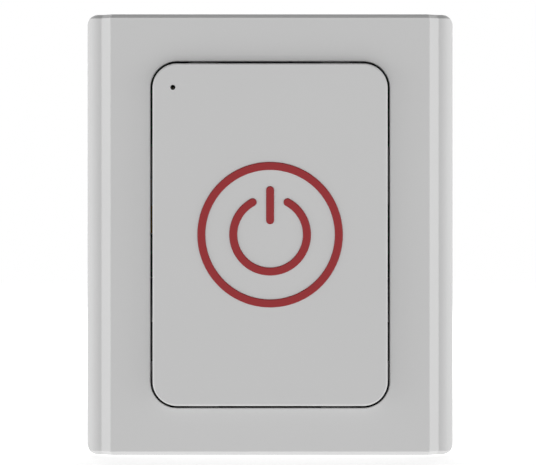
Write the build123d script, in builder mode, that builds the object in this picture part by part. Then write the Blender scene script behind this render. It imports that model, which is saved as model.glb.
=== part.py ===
from build123d import *
import math
import os

# Smart button: a wall button with one large press plate, a sensor board and a lithium cell.
# X runs to the right and Z up as seen from the front. The front faces -Y.
# The origin is the middle of the flat face that meets the wall.
# Depths are distances out from the wall, so a depth d lies at y = -d.

os.makedirs("parts", exist_ok=True)

# Housing, seen from the front
housing_width = 50.0
housing_height = 60.0
corner_radius = 1.5
end_edge_chamfer = 0.5
parting_chamfer = 0.15

# Depth stack, out from the wall
wall_plate_thickness = 1.6
slide_gap = 0.2
rear_wall = 1.6
rear_rim_depth = 3.2
front_face_depth = 19.0
front_wall = 1.4
plate_proud = 1.1

# Section of the moulded front shell
side_wall = 1.9
facet = 1.3
facet_edge_radius = 0.2
shoulder_radius = 2.0
inner_shoulder_radius = 1.2
inner_corner_radius = 1.0
rear_edge_radius = 0.8

# Lip of the rear shell inside the front shell
lip_height = 2.0
lip_thickness = 0.9
lip_clearance = 0.15

# Press plate
plate_width = 31.9
plate_height = 46.5
plate_thickness = 1.6
plate_corner_radius = 3.3
plate_edge_radius = 0.25
plate_gap = 0.34
aperture_edge_chamfer = 0.1
press_travel = 0.5

# Snap hooks, guide legs and ribs behind the press plate
leg_clearance = 0.1
leg_thickness = 1.0
hook_width = 4.0
hook_offset = 9.0
hook_reach = 0.8
hook_height = 1.1
hook_lead_in = 0.6
guide_width = 8.0
guide_height = 8.0
guide_length = 2.0
rib_height = 1.2
rib_thickness = 0.8
rib_length = 26.0
pusher_radius = 2.5
pusher_bore_radius = 1.2
gusset_length = 2.2

# Pinhole over the status light
pinhole_radius = 0.35
pinhole_side_inset = 2.75
pinhole_top_inset = 3.25

# Symbol set into the press plate
stroke_width = 1.07
stroke_gap = 0.02
groove_depth = 0.5
inlay_stand = 0.15
inlay_edge_chamfer = 0.1
outer_ring_radius = 9.33
inner_ring_radius = 5.0
inner_ring_open_angle = 28.3
bar_length = 5.15
bar_height = 4.0

# Lithium cell and its bay, sunk into the rear shell
cell_radius = 7.25
cell_length = 33.5
cell_nub_radius = 2.8
cell_nub_length = 1.0
cell_edge_chamfer = 0.4
cell_groove_inset = 1.6
cell_groove_depth = 0.25
cell_groove_half_width = 0.5
cell_clearance = 0.25
cell_back_gap = 0.05
bay_wall = 0.9
bay_end_room = 1.85
bay_board_gap = 0.3
bay_boss_gap = 0.9

# Battery contacts
contact_thickness = 0.4
contact_width = 7.0
contact_height = 11.0
contact_touch_gap = 0.05
contact_leaf_width = 4.0
contact_leaf_end_inset = 0.5
contact_tail_width = 2.8
contact_tail_end = 1.5
contact_tail_stand = 1.0
contact_slot_clearance = 0.1

# Main board
board_side_gap = 0.6
board_top_gap = 0.3
board_thickness = 1.2
board_depth = 9.8
board_corner_radius = 1.0
board_fixing_side_inset = 3.5
board_screw_top_inset = 3.9
board_pin_bottom_inset = 3.8
post_radius = 2.0
pin_radius = 0.8
pin_clearance = 0.1
pin_stand = 0.5

# Screws: four hold the shells together and two hold the board
case_screw_x = 15.0
case_screw_inset = 2.3
boss_radius = 1.9
tower_radius = 2.1
boss_web = 1.0
boss_lip_gap = 0.2
case_screw_length = 8.0
board_screw_length = 5.0
screw_radius = 1.0
screw_head_radius = 1.8
screw_head_height = 1.2
screw_edge_chamfer = 0.3
screw_drive_width = 0.45
screw_drive_length = 2.0
screw_drive_depth = 0.6
screw_pilot_clearance = 0.04
screw_hole_clearance = 0.15
screw_end_room = 0.6

# Tact switch under the middle of the press plate
switch_size = 6.0
switch_body_height = 3.0
switch_corner_chamfer = 0.3
switch_cover_thickness = 0.3
switch_recess_radius = 2.5
switch_recess_depth = 1.8
switch_post_offset = 2.3
switch_post_radius = 0.4
switch_post_stand = 0.15
switch_post_clearance = 0.03
plunger_radius = 1.7
plunger_stand = 1.0
plunger_clearance = 0.1
plunger_flange_radius = 2.2
plunger_flange_height = 0.7
plunger_nub_radius = 0.9
dome_radius = 2.3
dome_thickness = 0.1
lead_offset = 2.25
lead_width = 0.7
lead_thickness = 0.2
lead_height = 0.8
lead_reach = 1.4
lead_knee = 0.6

# Parts soldered to the main board
radio_side_inset = 13.5
radio_top_inset = 0.5
radio_width = 14.0
radio_height = 16.0
radio_thickness = 0.8
radio_notch_radius = 0.35
radio_notch_pitch = 2.0
radio_notch_count = 5
shield_width = 11.6
shield_height = 11.0
shield_depth = 2.0
shield_edge_chamfer = 0.3
shield_margin = 0.4
shield_wall = 0.2
chip_x = -8.0
chip_top_inset = 12.4
chip_size = 6.0
chip_thickness = 0.9
chip_chamfer = 0.15
chip_mark_radius = 0.35
chip_mark_depth = 0.1
chip_mark_inset = 1.0
crystal_chip_offset = 6.5
crystal_width = 3.2
crystal_height = 2.5
crystal_thickness = 0.8
crystal_edge_chamfer = 0.15
reservoir_side_inset = 6.5
reservoir_bottom_inset = 9.8
reservoir_width = 4.3
reservoir_height = 7.3
reservoir_thickness = 2.8
terminal_width = 2.4
terminal_height = 1.3
terminal_thickness = 0.15
small_capacitor_width = 0.8
small_capacitor_height = 1.6
small_capacitor_thickness = 0.8
small_capacitor_chip_offset = 6.0
small_capacitor_pitch = 1.8
small_capacitor_count = 3
led_width = 1.6
led_height = 0.8
led_base = 0.3
led_lens = 0.35
led_lens_width = 1.1
led_lens_radius = 0.2

# Wall plate, which slides on from below
wall_plate_side_inset = 2.0
wall_plate_end_inset = 3.0
wall_plate_corner_radius = 2.5
wall_plate_chamfer = 0.4
rail_side_inset = 3.7
rail_neck = 1.6
rail_head = 2.8
rail_height = 1.8
rail_top_inset = 10.1
rail_end_gap = 0.1
rail_clearance = 0.12
groove_bed = 1.1
groove_wall = 0.85
wall_screw_radius = 1.7
wall_screw_head_radius = 2.75
wall_screw_spacing = 38.0

# Values worked out from the sizes above
half_width = housing_width / 2
half_height = housing_height / 2
rear_face_depth = wall_plate_thickness + slide_gap
rear_floor_depth = rear_face_depth + rear_wall
split_depth = rear_face_depth + rear_rim_depth
front_inner_depth = front_face_depth - front_wall
plate_front_depth = front_face_depth + plate_proud
plate_back_depth = plate_front_depth - plate_thickness
aperture_width = plate_width + 2 * plate_gap
aperture_height = plate_height + 2 * plate_gap
inner_half_width = half_width - side_wall
inner_half_height = half_height - side_wall
case_screw_z = inner_half_height - case_screw_inset
lip_half_width = inner_half_width - lip_clearance
lip_half_height = inner_half_height - lip_clearance
cell_depth = rear_face_depth + cell_radius + cell_back_gap
bay_radius = cell_radius + cell_clearance
bay_outer_radius = bay_radius + bay_wall
bay_half_length = cell_length / 2 + bay_end_room
cell_z = bay_outer_radius + bay_boss_gap + boss_radius - case_screw_z
board_half_width = inner_half_width - board_side_gap
board_top = case_screw_z - tower_radius - board_top_gap
board_bottom = cell_z + bay_outer_radius + bay_board_gap
board_fixing_x = board_half_width - board_fixing_side_inset
board_screw_z = board_top - board_screw_top_inset
board_pin_z = board_bottom + board_pin_bottom_inset
pinhole_x = pinhole_side_inset - plate_width / 2
pinhole_z = plate_height / 2 - pinhole_top_inset
radio_x = board_half_width - radio_side_inset
radio_z = board_top - radio_top_inset - radio_height / 2
chip_z = board_top - chip_top_inset
crystal_z = chip_z + crystal_chip_offset
reservoir_x = reservoir_side_inset - board_half_width
reservoir_z = board_bottom + reservoir_bottom_inset
small_capacitor_z = chip_z - small_capacitor_chip_offset
wall_plate_width = housing_width - 2 * wall_plate_side_inset
wall_plate_height = housing_height - 2 * wall_plate_end_inset
rail_x = half_width - rail_side_inset
rail_top = half_height - rail_top_inset
board_front_depth = board_depth + board_thickness
boss_seat_depth = split_depth + lip_height + boss_lip_gap
contact_x = bay_half_length - contact_thickness / 2
contact_tail_depth = board_front_depth + contact_tail_stand - contact_tail_width
switch_top_depth = board_front_depth + switch_body_height
plunger_top_depth = switch_top_depth + switch_cover_thickness + plunger_stand
dome_height = press_travel + dome_thickness
groove_floor_depth = wall_plate_thickness + rail_height + rail_end_gap
case_screw_places = [
    (x, z) for x in (-case_screw_x, case_screw_x) for z in (-case_screw_z, case_screw_z)
]
board_screw_places = [(x, board_screw_z) for x in (-board_fixing_x, board_fixing_x)]
board_pin_places = [(x, board_pin_z) for x in (-board_fixing_x, board_fixing_x)]


def layer(depth):
    """Plane parallel to the wall at a depth, facing out of it."""
    return Plane.XZ.offset(depth)


def save(piece, name):
    """Label a finished piece and write it under its own name."""
    piece.label = name
    export_step(piece, f"parts/{name}.step")


def moulded_form(half_w, half_h, back, front, shoulder, corner):
    """Block with a flat front, a sloped facet and a rounded shoulder down each side."""
    crease_x = half_w - shoulder
    crease_depth = front - facet
    with BuildPart() as form:
        with BuildSketch(Plane.XY.offset(-half_h)) as section:
            with BuildLine():
                Line((0, -back), (half_w, -back))
                Line((half_w, -back), (half_w, shoulder - crease_depth))
                CenterArc((crease_x, shoulder - crease_depth), shoulder, 0, -90)
                Line((crease_x, -crease_depth), (crease_x - facet, -front))
                Line((crease_x - facet, -front), (0, -front))
                mirror(about=Plane.YZ)
            make_face()
            creases = [point for point in section.vertices() if abs(abs(point.X) - crease_x) < 0.01]
            fillet(creases, radius=facet_edge_radius)
        extrude(amount=2 * half_h)
        for end in (0, -1):
            end_edges = [
                edge
                for edge in form.faces().sort_by(Axis.Z)[end].edges()
                if abs(edge.center().X) < half_w - 0.01 and -edge.center().Y > back + 0.01
            ]
            chamfer(end_edges, length=end_edge_chamfer)
        facet_edges = [
            edge
            for edge in form.edges().filter_by(Axis.Z)
            if abs(abs(edge.center().X) - crease_x + facet) < 0.01
        ]
        fillet(facet_edges, radius=facet_edge_radius)
        with BuildSketch(layer(back)):
            RectangleRounded(2 * half_w, 2 * half_h, corner)
        extrude(amount=front - back, mode=Mode.INTERSECT)
    return form.part


# Front shell: the moulded face with its two side shoulders and the opening for the press plate
outer_form = moulded_form(
    half_width,
    half_height,
    split_depth,
    front_face_depth,
    shoulder_radius,
    corner_radius,
)
cavity_form = moulded_form(
    inner_half_width,
    inner_half_height,
    split_depth,
    front_inner_depth,
    inner_shoulder_radius,
    inner_corner_radius,
)

with BuildPart() as front_shell:
    add(outer_form)
    add(cavity_form, mode=Mode.SUBTRACT)
    chamfer(front_shell.faces().sort_by(Axis.Y)[-1].outer_wire().edges(), length=parting_chamfer)
    with BuildSketch(layer(front_inner_depth)):
        RectangleRounded(aperture_width, aperture_height, plate_corner_radius + plate_gap)
    extrude(amount=front_wall, mode=Mode.SUBTRACT)
    chamfer(front_shell.faces().sort_by(Axis.Y)[0].inner_wires()[0].edges(), length=aperture_edge_chamfer)
    for screw_x, screw_z in case_screw_places:
        web_length = inner_half_height - abs(screw_z)
        with BuildSketch(layer(boss_seat_depth)):
            with Locations((screw_x, screw_z)):
                Circle(boss_radius)
            with Locations((screw_x, math.copysign(inner_half_height - web_length / 2, screw_z))):
                Rectangle(boss_web, web_length)
        extrude(amount=front_inner_depth - boss_seat_depth)
    with BuildSketch(layer(boss_seat_depth)):
        with Locations(*case_screw_places):
            Circle(screw_radius + screw_pilot_clearance)
    extrude(
        amount=rear_floor_depth + case_screw_length + screw_end_room - boss_seat_depth,
        mode=Mode.SUBTRACT,
    )
save(front_shell.part, "front_shell")

# Press plate: floats in the opening, held from behind by four snap hooks
hook_root = aperture_height / 2 - leg_clearance
guide_root = aperture_width / 2 - leg_clearance

with BuildPart() as button_plate:
    with BuildSketch(layer(plate_back_depth)):
        RectangleRounded(plate_width, plate_height, plate_corner_radius)
    extrude(amount=plate_thickness)
    fillet(button_plate.faces().sort_by(Axis.Y)[0].edges(), radius=plate_edge_radius)
    for side in (-1, 1):
        with BuildSketch(layer(front_inner_depth - hook_height)):
            with Locations((0, side * (hook_root - leg_thickness / 2))):
                with GridLocations(2 * hook_offset, 0, 2, 1):
                    Rectangle(hook_width, leg_thickness)
        extrude(amount=plate_back_depth - front_inner_depth + hook_height)
        for hook_x in (-hook_offset, hook_offset):
            with BuildSketch(Plane.YZ.offset(hook_x - hook_width / 2)):
                with BuildLine():
                    Polyline(
                        (-front_inner_depth, side * (hook_root - leg_thickness)),
                        (-front_inner_depth, side * (hook_root + hook_reach)),
                        (-front_inner_depth + hook_height - hook_lead_in, side * (hook_root + hook_reach)),
                        (-front_inner_depth + hook_height, side * hook_root),
                        (-front_inner_depth + hook_height, side * (hook_root - leg_thickness)),
                        close=True,
                    )
                make_face()
            extrude(amount=hook_width)
        with BuildSketch(layer(plate_back_depth - guide_length)):
            with Locations((side * (guide_root - leg_thickness / 2), guide_height)):
                Rectangle(leg_thickness, guide_width)
        extrude(amount=guide_length)
    with BuildSketch(layer(plate_back_depth - rib_height)):
        with Locations((0, guide_height / 2), (0, guide_height * 2)):
            Rectangle(rib_length, rib_thickness)
    extrude(amount=rib_height)
    with BuildSketch(layer(plunger_top_depth)):
        Circle(pusher_radius)
    extrude(amount=plate_back_depth - plunger_top_depth)
    with BuildSketch(layer(plate_back_depth - rib_height)):
        with PolarLocations(pusher_radius + gusset_length / 2 - rib_thickness / 2, 2):
            Rectangle(gusset_length, rib_thickness)
    extrude(amount=rib_height)
    with BuildSketch(layer(plunger_top_depth + rib_height)):
        Circle(pusher_bore_radius)
    extrude(amount=plate_back_depth - plunger_top_depth - rib_height, mode=Mode.SUBTRACT)
    with BuildSketch(layer(plate_front_depth - groove_depth)):
        with BuildLine():
            inner_arc = CenterArc(
                (0, 0),
                inner_ring_radius,
                90 + inner_ring_open_angle,
                360 - 2 * inner_ring_open_angle,
            )
        Circle(outer_ring_radius + stroke_width / 2 + stroke_gap)
        Circle(outer_ring_radius - stroke_width / 2 - stroke_gap, mode=Mode.SUBTRACT)
        SlotArc(inner_arc, stroke_width + 2 * stroke_gap)
        with Locations((0, bar_height)):
            SlotOverall(bar_length + 2 * stroke_gap, stroke_width + 2 * stroke_gap, rotation=90)
    extrude(amount=groove_depth, mode=Mode.SUBTRACT)
    with BuildSketch(layer(plate_back_depth)):
        with Locations((pinhole_x, pinhole_z)):
            Circle(pinhole_radius)
    extrude(amount=plate_thickness, mode=Mode.SUBTRACT)
save(button_plate.part, "button_plate")

# Symbol: three coloured strokes seated in the grooves of the press plate, standing a little proud
inlay_depth = plate_front_depth - groove_depth
inlay_thickness = groove_depth + inlay_stand

with BuildPart() as symbol_outer_ring:
    with BuildSketch(layer(inlay_depth)):
        Circle(outer_ring_radius + stroke_width / 2)
        Circle(outer_ring_radius - stroke_width / 2, mode=Mode.SUBTRACT)
    extrude(amount=inlay_thickness)
    chamfer(symbol_outer_ring.faces().sort_by(Axis.Y)[0].edges(), length=inlay_edge_chamfer)
save(symbol_outer_ring.part, "symbol_outer_ring")

with BuildPart() as symbol_inner_ring:
    with BuildSketch(layer(inlay_depth)):
        with BuildLine():
            inner_arc = CenterArc(
                (0, 0),
                inner_ring_radius,
                90 + inner_ring_open_angle,
                360 - 2 * inner_ring_open_angle,
            )
        SlotArc(inner_arc, stroke_width)
    extrude(amount=inlay_thickness)
    chamfer(symbol_inner_ring.faces().sort_by(Axis.Y)[0].edges(), length=inlay_edge_chamfer)
save(symbol_inner_ring.part, "symbol_inner_ring")

with BuildPart() as symbol_bar:
    with BuildSketch(layer(inlay_depth)):
        with Locations((0, bar_height)):
            SlotOverall(bar_length, stroke_width, rotation=90)
    extrude(amount=inlay_thickness)
    chamfer(symbol_bar.faces().sort_by(Axis.Y)[0].edges(), length=inlay_edge_chamfer)
save(symbol_bar.part, "symbol_bar")


def trough(radius, back_depth, half_length):
    """Half-round trough along X around the cell, with straight sides back to a depth."""
    with BuildPart() as form:
        with BuildSketch(Plane.YZ.offset(-half_length)):
            with BuildLine():
                Line((-back_depth, cell_z + radius), (-cell_depth, cell_z + radius))
                CenterArc((-cell_depth, cell_z), radius, 90, 180)
                Line((-cell_depth, cell_z - radius), (-back_depth, cell_z - radius))
                Line((-back_depth, cell_z - radius), (-back_depth, cell_z + radius))
            make_face()
        extrude(amount=2 * half_length)
    return form.part


# Rear shell: back wall, locating lip, cell bay, screw towers, board posts and slide grooves
block_half_width = rail_head / 2 + rail_clearance + groove_wall

with BuildPart() as rear_shell:
    with BuildSketch(layer(rear_face_depth)):
        RectangleRounded(housing_width, housing_height, corner_radius)
    extrude(amount=rear_rim_depth)
    fillet(rear_shell.faces().sort_by(Axis.Y)[-1].edges(), radius=rear_edge_radius)
    chamfer(rear_shell.faces().sort_by(Axis.Y)[0].edges(), length=parting_chamfer)
    with BuildSketch(layer(split_depth)):
        RectangleRounded(2 * lip_half_width, 2 * lip_half_height, inner_corner_radius)
    extrude(amount=lip_height)
    with BuildSketch(layer(rear_floor_depth)):
        RectangleRounded(
            2 * (lip_half_width - lip_thickness),
            2 * (lip_half_height - lip_thickness),
            inner_corner_radius,
        )
    extrude(amount=split_depth + lip_height - rear_floor_depth, mode=Mode.SUBTRACT)
    with BuildSketch(layer(rear_floor_depth)):
        with Locations(*[(x, (rail_top + rail_end_gap - lip_half_height) / 2) for x in (-rail_x, rail_x)]):
            Rectangle(2 * block_half_width, rail_top + rail_end_gap + lip_half_height)
    extrude(amount=groove_floor_depth + groove_bed - rear_floor_depth)
    with BuildSketch(Plane.XY.offset(-half_height)):
        for rail_side in (-1, 1):
            with BuildLine():
                Polyline(
                    (rail_side * rail_x - rail_neck / 2 - rail_clearance, -wall_plate_thickness),
                    (rail_side * rail_x + rail_neck / 2 + rail_clearance, -wall_plate_thickness),
                    (rail_side * rail_x + rail_head / 2 + rail_clearance, -groove_floor_depth),
                    (rail_side * rail_x - rail_head / 2 - rail_clearance, -groove_floor_depth),
                    close=True,
                )
            make_face()
    extrude(amount=half_height + rail_top + rail_end_gap, mode=Mode.SUBTRACT)
    add(trough(bay_outer_radius, rear_floor_depth, bay_half_length + bay_wall))
    add(trough(bay_radius, wall_plate_thickness, bay_half_length), mode=Mode.SUBTRACT)
    with BuildSketch(layer(contact_tail_depth - contact_slot_clearance)):
        with Locations((0, cell_z + bay_outer_radius)):
            with GridLocations(2 * contact_x, 0, 2, 1):
                Rectangle(contact_thickness + 2 * contact_slot_clearance, 4 * bay_wall)
    extrude(amount=contact_tail_width + 2 * contact_slot_clearance, mode=Mode.SUBTRACT)
    with BuildSketch(layer(rear_floor_depth)):
        with Locations(*case_screw_places):
            Circle(tower_radius)
    extrude(amount=boss_seat_depth - rear_floor_depth)
    with BuildSketch(layer(rear_floor_depth)):
        with Locations(*(board_screw_places + board_pin_places)):
            Circle(post_radius)
    extrude(amount=board_depth - rear_floor_depth)
    with BuildSketch(layer(board_depth)):
        with Locations(*board_pin_places):
            Circle(pin_radius)
    extrude(amount=board_thickness + pin_stand)
    with BuildSketch(layer(rear_face_depth)):
        with Locations(*case_screw_places):
            Circle(screw_radius + screw_hole_clearance)
    extrude(amount=boss_seat_depth - rear_face_depth, mode=Mode.SUBTRACT)
    with BuildSketch(layer(rear_face_depth)):
        with Locations(*case_screw_places):
            Circle(screw_head_radius + screw_hole_clearance)
    extrude(amount=rear_wall, mode=Mode.SUBTRACT)
    with BuildSketch(layer(board_front_depth - board_screw_length - screw_end_room)):
        with Locations(*board_screw_places):
            Circle(screw_radius + screw_pilot_clearance)
    extrude(amount=board_screw_length + screw_end_room, mode=Mode.SUBTRACT)
save(rear_shell.part, "rear_shell")

# Wall plate: screwed to the wall, with a dovetail rail down each side
with BuildPart() as wall_plate:
    with BuildSketch(layer(0)):
        RectangleRounded(wall_plate_width, wall_plate_height, wall_plate_corner_radius)
    extrude(amount=wall_plate_thickness)
    chamfer(wall_plate.faces().sort_by(Axis.Y)[0].edges(), length=wall_plate_chamfer)
    with BuildSketch(Plane.XY.offset(-wall_plate_height / 2 + wall_plate_corner_radius)):
        for rail_side in (-1, 1):
            with BuildLine():
                Polyline(
                    (rail_side * rail_x - rail_neck / 2, -wall_plate_thickness),
                    (rail_side * rail_x + rail_neck / 2, -wall_plate_thickness),
                    (rail_side * rail_x + rail_head / 2, -wall_plate_thickness - rail_height),
                    (rail_side * rail_x - rail_head / 2, -wall_plate_thickness - rail_height),
                    close=True,
                )
            make_face()
    extrude(amount=wall_plate_height / 2 - wall_plate_corner_radius + rail_top)
    with Locations(layer(wall_plate_thickness)):
        with Locations((0, wall_screw_spacing / 2), (0, -wall_screw_spacing / 2)):
            CounterSinkHole(wall_screw_radius, wall_screw_head_radius)
save(wall_plate.part, "wall_plate")

# Main board: cut round the bay, with slots for the contact tails
with BuildPart() as main_board:
    with BuildSketch(layer(board_depth)):
        with Locations((0, (board_top + board_bottom) / 2)):
            RectangleRounded(2 * board_half_width, board_top - board_bottom, board_corner_radius)
        with Locations(*board_screw_places):
            Circle(screw_radius + screw_hole_clearance, mode=Mode.SUBTRACT)
        with Locations(*board_pin_places):
            Circle(pin_radius + pin_clearance, mode=Mode.SUBTRACT)
        with Locations((0, board_bottom)):
            with GridLocations(2 * contact_x, 0, 2, 1):
                Rectangle(
                    contact_thickness + 2 * contact_slot_clearance,
                    2 * (contact_tail_end + contact_slot_clearance),
                    mode=Mode.SUBTRACT,
                )
    extrude(amount=board_thickness)
save(main_board.part, "main_board")


def screw(length):
    """Pan-head screw with a cross drive, its seat at depth zero and its head outward."""
    with BuildPart() as one_screw:
        with BuildSketch(layer(0)):
            Circle(screw_head_radius)
        extrude(amount=screw_head_height)
        chamfer(one_screw.faces().sort_by(Axis.Y)[0].edges(), length=screw_edge_chamfer)
        with BuildSketch(layer(-length)):
            Circle(screw_radius)
        extrude(amount=length)
        chamfer(one_screw.faces().sort_by(Axis.Y)[-1].edges(), length=screw_edge_chamfer)
        with BuildSketch(layer(screw_head_height - screw_drive_depth)):
            Rectangle(screw_drive_length, screw_drive_width)
            Rectangle(screw_drive_width, screw_drive_length)
        extrude(amount=screw_drive_depth, mode=Mode.SUBTRACT)
    return one_screw.part


# Board screws, driven in from the front
with BuildPart() as board_screws:
    board_screw = screw(board_screw_length)
    with Locations(*[(x, -board_front_depth, z) for x, z in board_screw_places]):
        add(board_screw)
save(board_screws.part, "board_screws")

# Case screws, driven in from the back
with BuildPart() as case_screws:
    case_screw = screw(case_screw_length)
    with Locations(*[Location((x, -rear_floor_depth, z), (0, 0, 180)) for x, z in case_screw_places]):
        add(case_screw)
save(case_screws.part, "case_screws")

# Lithium cell, lying across the bay with its raised terminal to the right
with BuildPart() as battery_cell:
    with BuildSketch(Plane.XZ.offset(cell_depth)):
        with BuildLine():
            left = -cell_length / 2
            shoulder = cell_length / 2 - cell_nub_length
            groove_x = shoulder - cell_groove_inset
            Polyline(
                (left, cell_z),
                (left, cell_z + cell_radius),
                (groove_x - cell_groove_half_width, cell_z + cell_radius),
                (groove_x, cell_z + cell_radius - cell_groove_depth),
                (groove_x + cell_groove_half_width, cell_z + cell_radius),
                (shoulder, cell_z + cell_radius),
                (shoulder, cell_z + cell_nub_radius),
                (cell_length / 2, cell_z + cell_nub_radius),
                (cell_length / 2, cell_z),
                close=True,
            )
        make_face()
    revolve(axis=Axis((0, -cell_depth, cell_z), (1, 0, 0)))
    for rim_x in (left, shoulder):
        rim_edges = [
            edge
            for edge in battery_cell.edges().filter_by(GeomType.CIRCLE)
            if edge.radius > cell_radius - 0.01 and abs(edge.center().X - rim_x) < 0.01
        ]
        chamfer(rim_edges, length=cell_edge_chamfer)
save(battery_cell.part, "battery_cell")

# Battery contacts: sheet-metal plates against the ends of the bay, with a sprung leaf and a solder tail
leaf_x = cell_length / 2 + contact_touch_gap + contact_thickness / 2
contact_foot_z = cell_z - contact_height / 2
contact_head_z = cell_z + contact_height / 2
contact_tail_z = board_bottom + contact_tail_end


def battery_contact(side):
    """Contact for one end of the bay: side is -1 on the left and 1 on the right."""
    with BuildPart() as contact:
        with BuildSketch(Plane.YZ.offset(side * bay_half_length)):
            with Locations((-cell_depth, cell_z)):
                Rectangle(contact_width, contact_height)
            tail_middle = contact_tail_depth + contact_tail_width / 2
            with Locations((-tail_middle, (contact_head_z + contact_tail_z) / 2)):
                Rectangle(contact_tail_width, contact_tail_z - contact_head_z)
        extrude(amount=-side * contact_thickness)
        with BuildSketch(layer(cell_depth - contact_leaf_width / 2)):
            with BuildLine() as leaf_line:
                Polyline(
                    (side * contact_x, contact_foot_z),
                    (side * leaf_x, cell_z),
                    (side * (contact_x - contact_leaf_end_inset), contact_head_z - contact_leaf_end_inset),
                )
            trace(leaf_line.edges(), line_width=contact_thickness)
            with Locations((side * contact_x, contact_foot_z), (side * leaf_x, cell_z)):
                Circle(contact_thickness / 2)
        extrude(amount=contact_leaf_width)
    return contact.part


save(battery_contact(1), "battery_contact_positive")
save(battery_contact(-1), "battery_contact_negative")

# Tact switch body, with four posts that hold its cover
switch_post_places = [
    (x, z)
    for x in (-switch_post_offset, switch_post_offset)
    for z in (-switch_post_offset, switch_post_offset)
]

with BuildPart() as switch_body:
    with BuildSketch(layer(board_front_depth)):
        Rectangle(switch_size, switch_size)
    extrude(amount=switch_body_height)
    chamfer(switch_body.edges().filter_by(Axis.Y), length=switch_corner_chamfer)
    with BuildSketch(layer(switch_top_depth - switch_recess_depth)):
        Circle(switch_recess_radius)
    extrude(amount=switch_recess_depth, mode=Mode.SUBTRACT)
    with BuildSketch(layer(switch_top_depth)):
        with Locations(*switch_post_places):
            Circle(switch_post_radius)
    extrude(amount=switch_cover_thickness + switch_post_stand)
save(switch_body.part, "switch_body")

# Metal cover of the switch
with BuildPart() as switch_cover:
    with BuildSketch(layer(switch_top_depth)):
        Rectangle(switch_size, switch_size)
        Circle(plunger_radius + plunger_clearance, mode=Mode.SUBTRACT)
        with Locations(*switch_post_places):
            Circle(switch_post_radius + switch_post_clearance, mode=Mode.SUBTRACT)
    extrude(amount=switch_cover_thickness)
    chamfer(switch_cover.edges().filter_by(Axis.Y).group_by(SortBy.LENGTH)[-1], length=switch_corner_chamfer)
save(switch_cover.part, "switch_cover")

# Plunger: its flange is caught under the cover and its nub stands on the snap dome
recess_floor_depth = switch_top_depth - switch_recess_depth
nub_depth = recess_floor_depth + dome_height

with BuildPart() as switch_plunger:
    with BuildSketch(layer(nub_depth)):
        Circle(plunger_nub_radius)
    extrude(amount=switch_top_depth - plunger_flange_height - nub_depth)
    with BuildSketch(layer(switch_top_depth - plunger_flange_height)):
        Circle(plunger_flange_radius)
    extrude(amount=plunger_flange_height)
    with BuildSketch(layer(switch_top_depth)):
        Circle(plunger_radius)
    extrude(amount=plunger_top_depth - switch_top_depth)
save(switch_plunger.part, "switch_plunger")

# Snap dome: a thin sprung disc whose rim stands on the floor of the switch
with BuildPart() as switch_dome:
    with BuildSketch(Plane.XY):
        with BuildLine():
            ThreePointArc(
                (-dome_radius, -recess_floor_depth),
                (0, -recess_floor_depth - dome_height),
                (dome_radius, -recess_floor_depth),
            )
            Line((dome_radius, -recess_floor_depth), (dome_radius - dome_thickness, -recess_floor_depth))
            ThreePointArc(
                (dome_radius - dome_thickness, -recess_floor_depth),
                (0, -recess_floor_depth - dome_height + dome_thickness),
                (dome_thickness - dome_radius, -recess_floor_depth),
            )
            Line((dome_thickness - dome_radius, -recess_floor_depth), (-dome_radius, -recess_floor_depth))
        make_face()
        split(bisect_by=Plane.YZ)
    revolve(axis=Axis.Y)
save(switch_dome.part, "switch_dome")

# Switch leads: four bent strips soldered to the main board
with BuildPart() as switch_leads:
    for lead_z in (-lead_offset, lead_offset):
        with BuildSketch(Plane.XY.offset(lead_z - lead_width / 2)):
            with BuildLine() as lead_line:
                knee_x = switch_size / 2 + lead_knee
                sole_depth = board_front_depth + lead_thickness / 2
                Polyline(
                    (switch_size / 2, -board_front_depth - lead_height),
                    (knee_x, -board_front_depth - lead_height),
                    (knee_x, -sole_depth),
                    (switch_size / 2 + lead_reach, -sole_depth),
                )
            trace(lead_line.edges(), line_width=lead_thickness)
            mirror(about=Plane.YZ)
        extrude(amount=lead_width)
save(switch_leads.part, "switch_leads")

# Radio board, with its row of edge contacts, and the shield over its circuit
radio_front_depth = board_front_depth + radio_thickness
shield_z = radio_z - (radio_height - shield_height) / 2 + shield_margin

with BuildPart() as radio_board:
    with BuildSketch(layer(board_front_depth)):
        with Locations((radio_x, radio_z)):
            Rectangle(radio_width, radio_height)
        for edge_side in (-1, 1):
            with Locations((radio_x + edge_side * radio_width / 2, shield_z)):
                with GridLocations(0, radio_notch_pitch, 1, radio_notch_count):
                    Circle(radio_notch_radius, mode=Mode.SUBTRACT)
    extrude(amount=radio_thickness)
save(radio_board.part, "radio_board")

with BuildPart() as radio_shield:
    with BuildSketch(layer(radio_front_depth)):
        with Locations((radio_x, shield_z)):
            Rectangle(shield_width, shield_height)
    extrude(amount=shield_depth)
    chamfer(radio_shield.edges().filter_by(Axis.Y), length=shield_edge_chamfer)
    chamfer(radio_shield.faces().sort_by(Axis.Y)[0].edges(), length=shield_edge_chamfer)
    offset(amount=-shield_wall, openings=radio_shield.faces().sort_by(Axis.Y)[-1])
save(radio_shield.part, "radio_shield")

# Microcontroller, with a round dimple at its first corner
with BuildPart() as microcontroller:
    with BuildSketch(layer(board_front_depth)):
        with Locations((chip_x, chip_z)):
            Rectangle(chip_size, chip_size)
    extrude(amount=chip_thickness)
    chamfer(microcontroller.faces().sort_by(Axis.Y)[0].edges(), length=chip_chamfer)
    with BuildSketch(layer(board_front_depth + chip_thickness - chip_mark_depth)):
        with Locations((chip_x - chip_size / 2 + chip_mark_inset, chip_z + chip_size / 2 - chip_mark_inset)):
            Circle(chip_mark_radius)
    extrude(amount=chip_mark_depth, mode=Mode.SUBTRACT)
save(microcontroller.part, "microcontroller")

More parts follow.
